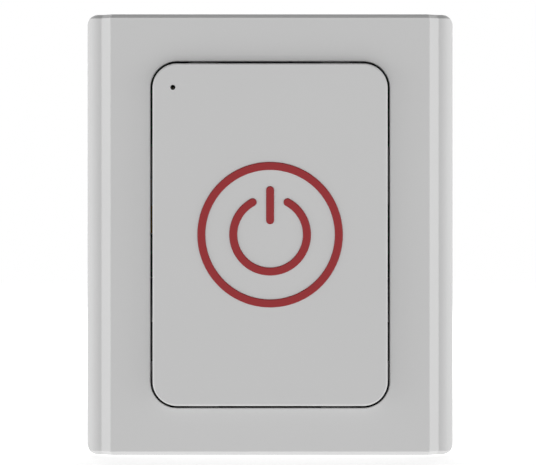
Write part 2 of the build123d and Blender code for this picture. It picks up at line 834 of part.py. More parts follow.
# Crystal: a small metal can
with BuildPart() as crystal:
    with BuildSketch(layer(board_front_depth)):
        with Locations((chip_x, crystal_z)):
            Rectangle(crystal_width, crystal_height)
    extrude(amount=crystal_thickness)
    chamfer(crystal.faces().sort_by(Axis.Y)[0].edges(), length=crystal_edge_chamfer)
save(crystal.part, "crystal")

# Reservoir capacitor: a moulded block with a folded terminal at each end
with BuildPart() as reservoir_capacitor:
    with BuildSketch(layer(board_front_depth)):
        with Locations((reservoir_x, reservoir_z)):
            Rectangle(reservoir_width, reservoir_height)
    extrude(amount=reservoir_thickness)
    chamfer(reservoir_capacitor.faces().sort_by(Axis.Y)[0].edges(), length=chip_chamfer)
    with BuildSketch(layer(board_front_depth)):
        with Locations((reservoir_x, reservoir_z)):
            Rectangle(terminal_width, reservoir_height + 2 * terminal_thickness)
    extrude(amount=terminal_height)
save(reservoir_capacitor.part, "reservoir_capacitor")

# Small ceramic capacitors in a row beside the microcontroller
with BuildPart() as small_capacitors:
    with BuildSketch(layer(board_front_depth)):
        with Locations((chip_x, small_capacitor_z)):
            with GridLocations(small_capacitor_pitch, 0, small_capacitor_count, 1):
                Rectangle(small_capacitor_width, small_capacitor_height)
    extrude(amount=small_capacitor_thickness)
save(small_capacitors.part, "small_capacitors")

# Status light behind the pinhole: a flat base with a clear lens
with BuildPart() as status_light:
    with BuildSketch(layer(board_front_depth)):
        with Locations((pinhole_x, pinhole_z)):
            Rectangle(led_width, led_height)
    extrude(amount=led_base)
    with BuildSketch(layer(board_front_depth + led_base)):
        with Locations((pinhole_x, pinhole_z)):
            Rectangle(led_lens_width, led_height)
    extrude(amount=led_lens)
    fillet(status_light.faces().sort_by(Axis.Y)[0].edges(), radius=led_lens_radius)
save(status_light.part, "status_light")
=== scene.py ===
# %% [markdown]
# # Dressing a wall button
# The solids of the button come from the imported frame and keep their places.
# This lesson gives every one of them a finish of its own, models the small hardware
# that a camera can come close to, and sets up a plain studio round it.
# All lengths are in metres. The front faces -Y, and +Z points up.

import math

import bmesh
import bpy
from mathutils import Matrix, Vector


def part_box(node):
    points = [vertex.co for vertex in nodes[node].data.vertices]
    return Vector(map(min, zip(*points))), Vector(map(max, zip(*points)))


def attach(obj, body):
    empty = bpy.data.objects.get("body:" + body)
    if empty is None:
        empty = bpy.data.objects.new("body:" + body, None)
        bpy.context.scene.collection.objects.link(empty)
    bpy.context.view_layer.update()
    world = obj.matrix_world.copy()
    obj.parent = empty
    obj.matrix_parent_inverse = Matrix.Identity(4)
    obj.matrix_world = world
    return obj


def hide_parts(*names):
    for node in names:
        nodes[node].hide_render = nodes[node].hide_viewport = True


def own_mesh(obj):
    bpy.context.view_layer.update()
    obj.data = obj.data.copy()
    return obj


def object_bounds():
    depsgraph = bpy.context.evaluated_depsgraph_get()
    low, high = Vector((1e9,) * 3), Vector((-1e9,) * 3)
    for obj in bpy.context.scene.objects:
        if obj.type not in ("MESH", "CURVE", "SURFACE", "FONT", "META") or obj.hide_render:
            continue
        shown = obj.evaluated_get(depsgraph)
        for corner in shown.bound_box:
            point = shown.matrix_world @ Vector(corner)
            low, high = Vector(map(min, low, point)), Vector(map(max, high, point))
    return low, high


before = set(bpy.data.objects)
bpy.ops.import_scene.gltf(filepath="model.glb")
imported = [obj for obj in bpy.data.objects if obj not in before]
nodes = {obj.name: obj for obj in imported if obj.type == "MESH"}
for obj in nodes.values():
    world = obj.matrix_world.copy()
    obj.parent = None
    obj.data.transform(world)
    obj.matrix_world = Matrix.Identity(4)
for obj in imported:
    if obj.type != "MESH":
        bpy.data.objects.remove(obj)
cad_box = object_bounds()
print("nodes in the frame:", len(nodes))
print("size in mm:", [round(1000 * (b - a), 2) for a, b in zip(*cad_box)])

# %% [markdown]
# ## Helpers for modelling
# Every operator works on what is selected, so a helper clears the selection before a new
# primitive is added, and another picks faces by their place. A last helper settles a finished
# piece: its place goes into its mesh, and it is told which body it moves with.

# %% Selecting and settling
MM = 0.001


def select_only(piece):
    """Make one object the only selected one, and the active one."""
    bpy.ops.object.select_all(action="DESELECT")
    piece.select_set(True)
    bpy.context.view_layer.objects.active = piece


def add_primitive(name, operator, **settings):
    """Add a primitive with nothing else selected, and name it."""
    bpy.ops.object.select_all(action="DESELECT")
    operator(**settings)
    piece = bpy.context.object
    piece.name = name
    piece.data.name = name
    return piece


def pick_faces(piece, test):
    """In edit mode, select only the faces whose middle passes a test."""
    bpy.ops.mesh.select_mode(type="FACE")
    bpy.ops.mesh.select_all(action="DESELECT")
    form = bmesh.from_edit_mesh(piece.data)
    for face in form.faces:
        if test(face.calc_center_median()):
            face.select_set(True)
    form.select_flush_mode()
    bmesh.update_edit_mesh(piece.data)


def apply_place():
    """Put the active object's place, turn and size into its mesh."""
    bpy.ops.object.transform_apply(location=True, rotation=True, scale=True)


def apply_modifier(piece, kind, **settings):
    """Add a modifier with its settings and apply it."""
    modifier = piece.modifiers.new(kind.lower(), kind)
    for setting, value in settings.items():
        setattr(modifier, setting, value)
    select_only(piece)
    bpy.ops.object.modifier_apply(modifier=modifier.name)


def joined(name, pieces):
    """Join several pieces into the first one."""
    select_only(pieces[0])
    for piece in pieces[1:]:
        piece.select_set(True)
    bpy.ops.object.join()
    pieces[0].name = name
    pieces[0].data.name = name
    return pieces[0]


def copied(piece, name, place, turn=0.0):
    """Copy a piece with a mesh of its own to a place, turned about Z."""
    select_only(piece)
    bpy.ops.object.duplicate(linked=False)
    copy = bpy.context.object
    copy.name = name
    copy.data.name = name
    copy.location = place
    copy.rotation_euler = (0, 0, turn)
    return copy


def settle(piece, body, material, angle=35):
    """Put the place in the mesh, smooth and finish the piece, and let it ride on a body."""
    select_only(piece)
    apply_place()
    bpy.ops.object.shade_smooth_by_angle(angle=math.radians(angle))
    piece.data.materials.clear()
    piece.data.materials.append(material)
    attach(piece, body)
    print(piece.name, "faces:", len(piece.data.polygons))


# %% [markdown]
# Screws, cells and solder joints are round, so they are made as on a lathe.
# One way is to stack cylinders; another is to draw half of the section and spin it.
# Spinning is used here, because a single line of points then holds the whole shape.

# %% Drawing a line
def drawn_line(name, points):
    """Draw edges through some points by extruding one vertex along them, and stay in edit mode."""
    piece = add_primitive(name, bpy.ops.mesh.primitive_plane_add, size=MM, location=(0, 0, 0))
    bpy.ops.object.mode_set(mode="EDIT")
    bpy.ops.mesh.select_mode(type="VERT")
    bpy.ops.mesh.select_all(action="SELECT")
    bpy.ops.mesh.merge(type="CENTER")
    bpy.ops.transform.translate(value=points[0])
    for before, after in zip(points, points[1:]):
        bpy.ops.mesh.extrude_region_move(TRANSFORM_OT_translate={"value": after - before})
    bpy.ops.mesh.select_all(action="SELECT")
    return piece


# %% Turning a half section
def turned(name, section, middle, axis, steps=32):
    """Spin a half section about an axis. The section lists (place along the axis, radius)."""
    along = Vector(axis).normalized()
    across = along.orthogonal().normalized()
    points = [
        Vector(middle) + along * place * MM + across * radius * MM for place, radius in section
    ]
    piece = drawn_line(name, points)
    bpy.ops.mesh.spin(steps=steps, angle=2 * math.pi, center=middle, axis=along)
    bpy.ops.mesh.select_all(action="SELECT")
    bpy.ops.mesh.remove_doubles(threshold=0.002 * MM)
    bpy.ops.mesh.normals_make_consistent(inside=False)
    bpy.ops.object.mode_set(mode="OBJECT")
    return piece


# %% [markdown]
# ## The camera
# The photograph is taken square on, from about half a metre, with a long lens.
# A long lens keeps the sides of the housing almost out of sight, as in the photograph.

# %% Camera
CAMERA_PLACE = Vector((-0.285, -464.5, 0.295)) * MM
LENS, SENSOR_WIDTH = 220, 36
NEAREST, FARTHEST = 0.01, 20

camera_data = bpy.data.cameras.new("camera")
camera_data.lens = LENS
camera_data.sensor_width = SENSOR_WIDTH
camera_data.clip_start = NEAREST
camera_data.clip_end = FARTHEST
camera = bpy.data.objects.new("camera", camera_data)
bpy.context.scene.collection.objects.link(camera)
camera.location = CAMERA_PLACE
camera.rotation_euler = (math.radians(90), 0, 0)
bpy.context.scene.camera = camera
bpy.context.scene.view_settings.view_transform = "Standard"
print("camera at", [round(v, 4) for v in camera.location])

# %% [markdown]
# ## Building materials from nodes
# A helper adds a node, sets its options and fills its inputs in one call.
# An input that is given as a socket is linked, and any other value is set on the node.
# Effects that several finishes share become node groups, each with named inputs and outputs.

# %% Node helpers
def add_node(tree, kind, inputs=None, **options):
    """Add a node, set its options, then link or set its inputs."""
    node = tree.nodes.new(kind)
    for option, value in options.items():
        setattr(node, option, value)
    for key, value in (inputs or {}).items():
        if isinstance(value, bpy.types.NodeSocket):
            tree.links.new(value, node.inputs[key])
        else:
            node.inputs[key].default_value = value
    return node


def calculate(tree, operation, *values, clamp=False):
    """Add a Math node and give back its output."""
    inputs = dict(enumerate(values))
    return add_node(tree, "ShaderNodeMath", inputs, operation=operation, use_clamp=clamp).outputs[0]


def combine(tree, operation, *vectors):
    """Add a Vector Math node and give back its output."""
    node = add_node(tree, "ShaderNodeVectorMath", dict(enumerate(vectors)), operation=operation)
    return node.outputs["Value" if operation in ("LENGTH", "DOT_PRODUCT") else "Vector"]


def separate(tree, vector):
    """Split a vector into X, Y and Z."""
    return add_node(tree, "ShaderNodeSeparateXYZ", {0: vector}).outputs


def noise(tree, place, scale, detail, **more):
    """Add noise in some coordinates and give back its value."""
    inputs = {"Vector": place, "Scale": scale, "Detail": detail, **more}
    return add_node(tree, "ShaderNodeTexNoise", inputs).outputs["Fac"]


# %% Group helpers
def new_group(name, inputs, outputs):
    """Start a shader node group with named sockets."""
    tree = bpy.data.node_groups.new(name, "ShaderNodeTree")
    kinds = {"vector": "NodeSocketVector", "value": "NodeSocketFloat"}
    for label, (kind, start) in inputs.items():
        socket = tree.interface.new_socket(name=label, in_out="INPUT", socket_type=kinds[kind])
        if start is not None:
            socket.default_value = start
    for label, kind in outputs.items():
        tree.interface.new_socket(name=label, in_out="OUTPUT", socket_type=kinds[kind])
    return tree, tree.nodes.new("NodeGroupInput").outputs, tree.nodes.new("NodeGroupOutput")


def finish_group(tree, output_node, **sockets):
    """Link the results of a group to its outputs."""
    for label, socket in sockets.items():
        tree.links.new(socket, output_node.inputs[label.replace("_", " ").title()])
    print("group", tree.name, "nodes:", len(tree.nodes))


def use_group(tree, group, **values):
    """Place a group in a material with values of its own."""
    inputs = {label.replace("_", " ").title(): value for label, value in values.items()}
    return add_node(tree, "ShaderNodeGroup", inputs, node_tree=group).outputs


# %% [markdown]
# ### Moulded grain
# A moulded part copies the surface of its steel tool, which is eroded by sparks to a fine matt
# grain. A picture of the grain could be laid over the part, but it would need a layout of the
# surface. Noise in the object's own coordinates needs none, and it stays sharp in close-up.
# The group also gives a slow drift of tone and of shine, because no moulding is perfectly even.

# %% Group: moulded grain
moulded_grain, given, results = new_group(
    "moulded grain",
    {
        "Place": ("vector", None),
        "Grains": ("value", 5200.0),
        "Tone Drift": ("value", 0.02),
        "Shine Drift": ("value", 0.06),
    },
    {"Height": "value", "Tone": "value", "Shine": "value"},
)
TONE_CLOUDS, SHINE_CLOUDS = 55.0, 420.0
fine = noise(moulded_grain, given["Place"], given["Grains"], 3.0, Roughness=0.55)
tone_clouds = noise(moulded_grain, given["Place"], TONE_CLOUDS, 2.0)
shine_clouds = noise(moulded_grain, given["Place"], SHINE_CLOUDS, 4.0)
tone_part = calculate(moulded_grain, "SUBTRACT", tone_clouds, 0.5)
tone = calculate(moulded_grain, "MULTIPLY_ADD", tone_part, given["Tone Drift"], 1.0)
shine_part = calculate(moulded_grain, "SUBTRACT", shine_clouds, 0.5)
shine = calculate(moulded_grain, "MULTIPLY", shine_part, given["Shine Drift"])
finish_group(moulded_grain, results, Height=fine, Tone=tone, Shine=shine)

# %% [markdown]
# ### Rubbed edges and painted highlight
# Hands and pockets polish the corners of a housing first. The same paler band, set strong and
# narrow, also paints the highlight on the rim of the press plate. A box has an edge wherever two
# of its three pairs of sides are close, so the middle one of the three distances tells how near
# the edge is. That needs no sharp edge in the mesh, and works on a rounded shoulder as well.

# %% Group: rubbed edges and painted highlight
rubbed_edges_and_highlight, given, results = new_group(
    "rubbed edges and highlight",
    {
        "Place": ("vector", None),
        "Middle": ("vector", (0, 0, 0)),
        "Half Size": ("vector", (0.02, 0.02, 0.02)),
        "Width": ("value", 0.001),
    },
    {"Mask": "value"},
)
RUB_PATCHES = 260.0
offset = combine(rubbed_edges_and_highlight, "SUBTRACT", given["Place"], given["Middle"])
span = combine(rubbed_edges_and_highlight, "ABSOLUTE", offset)
inward = separate(rubbed_edges_and_highlight, combine(rubbed_edges_and_highlight, "SUBTRACT", given["Half Size"], span))
lower = calculate(rubbed_edges_and_highlight, "MINIMUM", inward["X"], inward["Y"])
upper = calculate(rubbed_edges_and_highlight, "MAXIMUM", inward["X"], inward["Y"])
upper = calculate(rubbed_edges_and_highlight, "MINIMUM", upper, inward["Z"])
second = calculate(rubbed_edges_and_highlight, "MAXIMUM", lower, upper)
share = calculate(rubbed_edges_and_highlight, "DIVIDE", second, given["Width"])
closeness = calculate(rubbed_edges_and_highlight, "SUBTRACT", 1.0, share, clamp=True)
patches = noise(rubbed_edges_and_highlight, given["Place"], RUB_PATCHES, 3.0)
broken = calculate(rubbed_edges_and_highlight, "MULTIPLY", closeness, patches)
finish_group(rubbed_edges_and_highlight, results, Mask=broken)

# %% [markdown]
# ### Painted shade in the slot
# The slot round the press plate is dark inside, because little light reaches the walls and
# ledges just under the front. That shade is painted here as a near-black colour.
# A ring that runs round the plate's outline, a little below the front, marks the place. Its
# two bands, across the slot and down from the front, are in millimetres.

# %% Group: painted shade in the slot
painted_slot_shade, given, results = new_group(
    "painted slot shade",
    {"Place": ("vector", None), "Outline": ("vector", (0.01, 0, 0.01)), "Front": ("value", 0.0)},
    {"Mask": "value"},
)
ACROSS_SLOT, BELOW_FRONT = (0.02, 0.31), (0.45, 1.95)
FADE = 0.02 * MM
spread = combine(painted_slot_shade, "ABSOLUTE", given["Place"])
outside = separate(painted_slot_shade, combine(painted_slot_shade, "SUBTRACT", spread, given["Outline"]))
reach = calculate(painted_slot_shade, "MAXIMUM", outside["X"], outside["Z"])
height = separate(painted_slot_shade, given["Place"])["Y"]
depth = calculate(painted_slot_shade, "SUBTRACT", height, given["Front"])
bands = []
for value, (start, end) in ((reach, ACROSS_SLOT), (depth, BELOW_FRONT)):
    away = calculate(painted_slot_shade, "SUBTRACT", value, (start + end) / 2 * MM)
    away = calculate(painted_slot_shade, "ABSOLUTE", away)
    near = calculate(painted_slot_shade, "SUBTRACT", (end - start) / 2 * MM, away)
    bands.append(calculate(painted_slot_shade, "DIVIDE", near, FADE, clamp=True))
# Where both bands meet, the colour is painted shade.
slot_shade_mask = calculate(painted_slot_shade, "MULTIPLY", *bands)
finish_group(painted_slot_shade, results, Mask=slot_shade_mask)

# %% [markdown]
# ### Drawn and rolled metal
# Sheet metal keeps fine lines from the rollers. Noise that is stretched along one direction
# gives such lines, so the group takes the stretch as a vector.

# %% Group: rolled lines
rolled_lines, given, results = new_group(
    "rolled lines",
    {
        "Place": ("vector", None),
        "Stretch": ("vector", (400.0, 9000.0, 9000.0)),
        "Spread": ("value", 0.12),
    },
    {"Height": "value", "Shine": "value"},
)
stretched = combine(rolled_lines, "MULTIPLY", given["Place"], given["Stretch"])
lines = noise(rolled_lines, stretched, 1.0, 3.0)
line_part = calculate(rolled_lines, "SUBTRACT", lines, 0.5)
line_shine = calculate(rolled_lines, "MULTIPLY", line_part, given["Spread"])
finish_group(rolled_lines, results, Height=lines, Shine=line_shine)

# %% [markdown]
# ### Glass weave and tracks
# A circuit board is woven glass in resin, etched copper on top, and a coat of coloured lacquer
# over both. The weave shows as a faint basket pattern. The tracks stand a hair above the rest,
# and the lacquer is lighter where copper lies under it. Bricks of two sizes leave a net of
# straight lines that turn at right angles, which is how tracks run.

# %% Group: board surface
board_surface, given, results = new_group(
    "board surface",
    {"Place": ("vector", None), "Weave": ("value", 1500.0), "Tracks": ("value", 260.0)},
    {"Weave Tone": "value", "Track": "value", "Height": "value"},
)
UPRIGHT = (math.radians(90), 0, 0)
mapping = add_node(
    board_surface, "ShaderNodeMapping", {"Vector": given["Place"], "Rotation": UPRIGHT}
)
plane_place = mapping.outputs[0]
warp, weft = [
    add_node(
        board_surface,
        "ShaderNodeTexWave",
        {"Vector": plane_place, "Scale": given["Weave"]},
        bands_direction=direction,
    ).outputs["Fac"]
    for direction in "XY"
]
weave = calculate(board_surface, "MULTIPLY", warp, weft)
bricks = add_node(
    board_surface,
    "ShaderNodeTexBrick",
    {
        "Vector": plane_place,
        "Scale": given["Tracks"],
        "Mortar Size": 0.035,
        "Mortar Smooth": 0.1,
        "Brick Width": 0.9,
        "Row Height": 0.42,
    },
    offset=0.37,
    squash=0.6,
    squash_frequency=3,
)
track = bricks.outputs["Fac"]
board_height = calculate(board_surface, "MULTIPLY_ADD", weave, 0.15, track)
finish_group(board_surface, results, Weave_Tone=weave, Track=track, Height=board_height)

# %% [markdown]
# ### A band across a piece
# Several small parts change finish along one direction: a capacitor has tinned ends, and a cell
# has bare steel past its sleeve. One group turns a distance along an axis into a mask that is
# 0 inside a limit and 1 beyond it.

# %% Group: beyond a limit
beyond_limit, given, results = new_group(
    "beyond a limit",
    {
        "Place": ("vector", None),
        "Middle": ("vector", (0, 0, 0)),
        "Direction": ("vector", (0, 0, 1)),
        "Limit": ("value", 0.001),
        "Blur": ("value", 0.00002),
    },
    {"Mask": "value"},
)
from_middle = combine(beyond_limit, "SUBTRACT", given["Place"], given["Middle"])
distance = combine(beyond_limit, "DOT_PRODUCT", from_middle, given["Direction"])
distance = calculate(beyond_limit, "ABSOLUTE", distance)
past = calculate(beyond_limit, "SUBTRACT", distance, given["Limit"])
limit_mask = calculate(beyond_limit, "DIVIDE", past, given["Blur"], clamp=True)
finish_group(beyond_limit, results, Mask=limit_mask)


# %% [markdown]
# ## The finishes
# Each finish is one Principled shader. What is the same all over, such as the index of
# refraction, is set on the shader itself. What changes over the surface is wired in.

# %% Starting a finish
def new_finish(name, colour, roughness, metallic=0.0, **fixed):
    """Start a material with a Principled shader, and give back what a finish is wired from."""
    material = bpy.data.materials.new(name)
    material.use_nodes = True
    tree = material.node_tree
    tree.nodes.clear()
    shader = add_node(
        tree,
        "ShaderNodeBsdfPrincipled",
        {"Base Color": (*colour, 1.0), "Roughness": roughness, "Metallic": metallic},
    )
    for label, value in fixed.items():
        shader.inputs[label.replace("_", " ")].default_value = value
    add_node(tree, "ShaderNodeOutputMaterial", {"Surface": shader.outputs[0]})
    place = add_node(tree, "ShaderNodeTexCoord").outputs["Object"]
    return material, tree, shader, place


def tinted(tree, colour, factor):
    """Multiply a colour by a value that changes over the surface."""
    return add_node(
        tree, "ShaderNodeVectorMath", {0: colour, "Scale": factor}, operation="SCALE"
    ).outputs[0]


def blended(tree, mask, low, high):
    """Blend two colours by a mask."""
    mix = add_node(tree, "ShaderNodeMix", data_type="RGBA")
    for socket, value in zip([mix.inputs[0], mix.inputs[6], mix.inputs[7]], [mask, low, high]):
        if isinstance(value, bpy.types.NodeSocket):
            tree.links.new(value, socket)
        else:
            socket.default_value = value
    return mix.outputs[2]


def raised(tree, shader, height, distance, strength=1.0):
    """Turn a height into the shader's normal."""
    inputs = {"Height": height, "Distance": distance, "Strength": strength}
    bump = add_node(tree, "ShaderNodeBump", inputs)
    tree.links.new(bump.outputs[0], shader.inputs["Normal"])


# %% [markdown]
# ### The grey mouldings
# The housing, the wall plate and the press plate are one light grey plastic with a satin grain.
# Their edges are rubbed a little paler, and the rim of the press plate carries a stronger pale
# band that is a painted highlight. Inside the slot, the shells and the press plate are painted
# near black as shade. The press plate has a finer grain, and the place where a thumb lands is a
# little shinier, in a soft uneven spot.

# %% Grey mouldings
GREY = (0.56, 0.56, 0.56)
# Near black: the shade inside the slot, painted as a colour.
SLOT_SHADE = (0.045, 0.045, 0.045, 1.0)
# Paler edges: wear on most parts, and a painted highlight on the press plate's rim.
RUB_AND_HIGHLIGHT_GAIN, RUBBED_SHINE = 1.12, 0.18
PLATE_OUTLINE = Vector((15.95, 0, 23.25)) * MM
front_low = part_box("front_shell")[0]


def moulded_plastic(
    name, colour, roughness, grains, box=None, rub_and_highlight=0.0, width=1.1, grain_depth=0.004, slot=False
):
    """Moulded plastic with grain and drift; where wanted, pale edges for wear and painted
    highlight, and painted shade in the slot.
    """
    material, tree, shader, place = new_finish(
        name, colour, roughness, IOR=1.46, Specular_IOR_Level=0.35
    )
    grain = use_group(
        tree, moulded_grain, Place=place, Grains=grains, Tone_Drift=0.03, Shine_Drift=0.12
    )
    base = tinted(tree, colour, grain["Tone"])
    shine = calculate(tree, "ADD", grain["Shine"], roughness)
    if box:
        low, high = box
        middle, half_size = (low + high) / 2, (high - low) / 2
        mask = use_group(
            tree, rubbed_edges_and_highlight, Place=place, Middle=middle, Half_Size=half_size, Width=width * MM
        )["Mask"]
        # The paler edge colour is wear on the housing, and a painted highlight on the press plate's
        # rim.
        rubbed_and_highlit = (*(RUB_AND_HIGHLIGHT_GAIN * part for part in colour), 1.0)
        base = blended(tree, calculate(tree, "MULTIPLY", mask, rub_and_highlight), base, rubbed_and_highlit)
        shine = calculate(tree, "SUBTRACT", shine, calculate(tree, "MULTIPLY", mask, RUBBED_SHINE))
    # The walls and ledges inside the slot are painted near black as shade.
    if slot:
        slot_shade_mask = use_group(
            tree, painted_slot_shade, Place=place, Outline=PLATE_OUTLINE, Front=front_low.y
        )["Mask"]
        base = blended(tree, slot_shade_mask, base, SLOT_SHADE)
    tree.links.new(base, shader.inputs["Base Color"])
    tree.links.new(shine, shader.inputs["Roughness"])
    raised(tree, shader, grain["Height"], grain_depth * MM)
    return material, tree, shader, place


rear_low, rear_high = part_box("rear_shell")
housing_box = (
    Vector((rear_low.x, front_low.y, rear_low.z)),
    Vector((rear_high.x, rear_high.y, rear_high.z)),
)
# The shells have rubbed edges, and painted shade inside the slot.
shell_finish = moulded_plastic("shell plastic", GREY, 0.52, 5200.0, housing_box, 0.35, slot=True)[0]
wall_plate_finish = moulded_plastic(
    "wall plate plastic", GREY, 0.56, 4200.0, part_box("wall_plate"), rub_and_highlight=0.3
)[0]
plate_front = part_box("button_plate")[0].y
plate_box = (
    Vector((-PLATE_OUTLINE.x, plate_front, -PLATE_OUTLINE.z)),
    Vector((PLATE_OUTLINE.x, front_low.y, PLATE_OUTLINE.z)),
)
# Strong, narrow pale edges on the press plate paint the highlight on its rim.
plate_finish, tree, shader, place = moulded_plastic(
    "press plate plastic", GREY, 0.5, 6400.0, plate_box, 1.0, width=0.45, slot=True
)
print("finishes:", [m.name for m in (shell_finish, wall_plate_finish, plate_finish)])

# %% Thumb polish on the press plate
POLISH_EDGE, POLISH_FULL, POLISH_SHINE = 15 * MM, 3 * MM, 0.14
SMUDGES = 140.0
across_front = combine(tree, "MULTIPLY", place, (1.0, 0.0, 1.0))
radius = combine(tree, "LENGTH", across_front)
smudge = noise(tree, place, SMUDGES, 4.0)
spot = add_node(
    tree,
    "ShaderNodeMapRange",
    {"Value": radius, "From Min": POLISH_EDGE, "From Max": POLISH_FULL},
    interpolation_type="SMOOTHSTEP",
).outputs[0]
polish = calculate(tree, "MULTIPLY", calculate(tree, "MULTIPLY", spot, smudge), POLISH_SHINE)
grain_shine = shader.inputs["Roughness"].links[0].from_socket
tree.links.new(calculate(tree, "SUBTRACT", grain_shine, polish), shader.inputs["Roughness"])
print("thumb polish reaches", round(POLISH_EDGE / MM, 1), "mm from the middle")

# %% Red of the symbol
RED = (0.279, 0.0165, 0.0202)
symbol_finish = moulded_plastic("symbol red", RED, 0.46, 6400.0, grain_depth=0.003)[0]
print("finish:", symbol_finish.name)

# %% [markdown]
# ### Switch, chip and lamp plastics
# The same recipe with other values serves the small black and white mouldings inside.
# The status light is a white block with a yellowish lens in front, under a thin clear coat.

# %% Small mouldings
resin_finish = moulded_plastic(
    "black resin", (0.012, 0.012, 0.013), 0.55, 9000.0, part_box("microcontroller"), 0.2
)[0]
switch_finish = moulded_plastic(
    "switch plastic", (0.011, 0.011, 0.012), 0.42, 8000.0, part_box("switch_body"), 0.2
)[0]
plunger_finish = moulded_plastic("plunger plastic", (0.6, 0.57, 0.48), 0.4, 8000.0)[0]
print("finishes:", [m.name for m in (resin_finish, switch_finish, plunger_finish)])

# %% Status light
LENS_START, LENS_CLOUDS = 0.3 * MM, 3000.0
WHITE_BODY, YELLOW_LENS = (0.72, 0.72, 0.68, 1), (0.86, 0.85, 0.62, 1)
light_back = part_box("status_light")[1].y
lens_finish, tree, shader, place = new_finish(
    "light lens", (0.8, 0.8, 0.74), 0.2, IOR=1.5, Coat_Weight=0.3
)
in_lens = use_group(
    tree,
    beyond_limit,
    Place=place,
    Middle=Vector((0, light_back, 0)),
    Direction=(0, 1, 0),
    Limit=LENS_START,
)["Mask"]
clouds = noise(tree, place, LENS_CLOUDS, 2.0)
light_colour = blended(tree, in_lens, WHITE_BODY, YELLOW_LENS)
tree.links.new(light_colour, shader.inputs["Base Color"])
tree.links.new(calculate(tree, "MULTIPLY_ADD", clouds, 0.2, 0.12), shader.inputs["Roughness"])
raised(tree, shader, clouds, 0.004 * MM)
print("finish:", lens_finish.name)


# %% [markdown]
# ### Metals
# The switch cover, shield and crystal are tinned sheet, the contacts and dome are nickel-plated
# spring sheet, and the screws are zinc-plated wire. They differ in colour, in gloss and in the
# direction of their lines.

# %% Metals
def sheet_metal(name, colour, roughness, stretch, spread=0.16, depth=0.002):
    """A plated metal with lines from rolling or turning, and small stains in the plating."""
    material, tree, shader, place = new_finish(name, colour, roughness, metallic=1.0)
    marks = use_group(tree, rolled_lines, Place=place, Stretch=stretch, Spread=spread)
    grain = use_group(
        tree, moulded_grain, Place=place, Grains=2500.0, Tone_Drift=0.25, Shine_Drift=0.2
    )
    tree.links.new(tinted(tree, colour, grain["Tone"]), shader.inputs["Base Color"])
    shine = calculate(tree, "ADD", marks["Shine"], grain["Shine"])
    shine = calculate(tree, "ADD", shine, roughness)
    tree.links.new(shine, shader.inputs["Roughness"])
    raised(tree, shader, marks["Height"], depth * MM)
    return material


tinned_finish = sheet_metal("tinned steel", (0.62, 0.62, 0.59), 0.34, (700.0, 9000.0, 9000.0))
spring_finish = sheet_metal("spring steel", (0.66, 0.63, 0.57), 0.26, (9000.0, 9000.0, 900.0))
screw_finish = sheet_metal("screw steel", (0.55, 0.55, 0.56), 0.32, (2600.0, 14000.0, 2600.0))
solder_finish = sheet_metal("solder", (0.68, 0.68, 0.67), 0.2, (2200.0, 2200.0, 2200.0), 0.1, 0.003)
copper_finish = sheet_metal("gilded copper", (0.83, 0.62, 0.28), 0.3, (5000.0, 5000.0, 5000.0), 0.1)
metals = (tinned_finish, spring_finish, screw_finish, solder_finish, copper_finish)
print("finishes:", [m.name for m in metals])


# %% [markdown]
# ### Circuit boards
# Both boards use the board surface, one in green and one in blue. The cut edges of a board are
# bare laminate, paler and yellowish, so a band through its thickness leaves the lacquer only on
# its two faces.

# %% Circuit boards
def laminate(name, node, lacquer, over_copper, weave, tracks):
    """Lacquered laminate with tracks on its faces and bare laminate round its edges."""
    low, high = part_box(node)
    material, tree, shader, place = new_finish(name, lacquer, 0.34, IOR=1.5, Coat_Weight=0.25)
    surface = use_group(tree, board_surface, Place=place, Weave=weave, Tracks=tracks)
    on_face = use_group(
        tree,
        beyond_limit,
        Place=place,
        Middle=(low + high) / 2,
        Direction=(0, 1, 0),
        Limit=(high.y - low.y) / 2 - 0.03 * MM,
    )["Mask"]
    face = blended(tree, surface["Track"], (*lacquer, 1), (*over_copper, 1))
    bare = blended(tree, surface["Weave Tone"], (0.42, 0.36, 0.2, 1), (0.52, 0.46, 0.29, 1))
    tree.links.new(blended(tree, on_face, bare, face), shader.inputs["Base Color"])
    rough = calculate(tree, "MULTIPLY_ADD", on_face, -0.34, 0.66)
    rough = calculate(tree, "MULTIPLY_ADD", surface["Weave Tone"], 0.05, rough)
    tree.links.new(rough, shader.inputs["Roughness"])
    raised(tree, shader, surface["Height"], 0.02 * MM, 0.6)
    return material


board_finish = laminate(
    "board laminate", "main_board", (0.006, 0.058, 0.022), (0.022, 0.14, 0.055), 900.0, 170.0
)
radio_finish = laminate(
    "radio laminate", "radio_board", (0.006, 0.022, 0.075), (0.02, 0.06, 0.17), 900.0, 300.0
)
print("finishes:", [m.name for m in (board_finish, radio_finish)])


# %% [markdown]
# ### Capacitors
# A ceramic capacitor has dipped metal ends, and the reservoir is a yellow moulded block with
# folded tin strips at its ends. Both are one solid in the frame, so the ends are told apart by
# their distance from the middle.

# %% Capacitors
TIN = (0.62, 0.62, 0.6)


def capped(name, node, colour, roughness, reach):
    """A block whose two ends, past a reach along Z, are bare metal."""
    low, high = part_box(node)
    material, tree, shader, place = new_finish(name, colour, roughness, IOR=1.5)
    ends = use_group(
        tree,
        beyond_limit,
        Place=place,
        Middle=(low + high) / 2,
        Direction=(0, 0, 1),
        Limit=reach,
        Blur=0.03 * MM,
    )["Mask"]
    grain = use_group(
        tree, moulded_grain, Place=place, Grains=7000.0, Tone_Drift=0.18, Shine_Drift=0.2
    )
    block, metal = (tinted(tree, tone, grain["Tone"]) for tone in (colour, TIN))
    tree.links.new(blended(tree, ends, block, metal), shader.inputs["Base Color"])
    tree.links.new(ends, shader.inputs["Metallic"])
    tree.links.new(calculate(tree, "ADD", grain["Shine"], roughness), shader.inputs["Roughness"])
    raised(tree, shader, grain["Height"], 0.004 * MM)
    return material


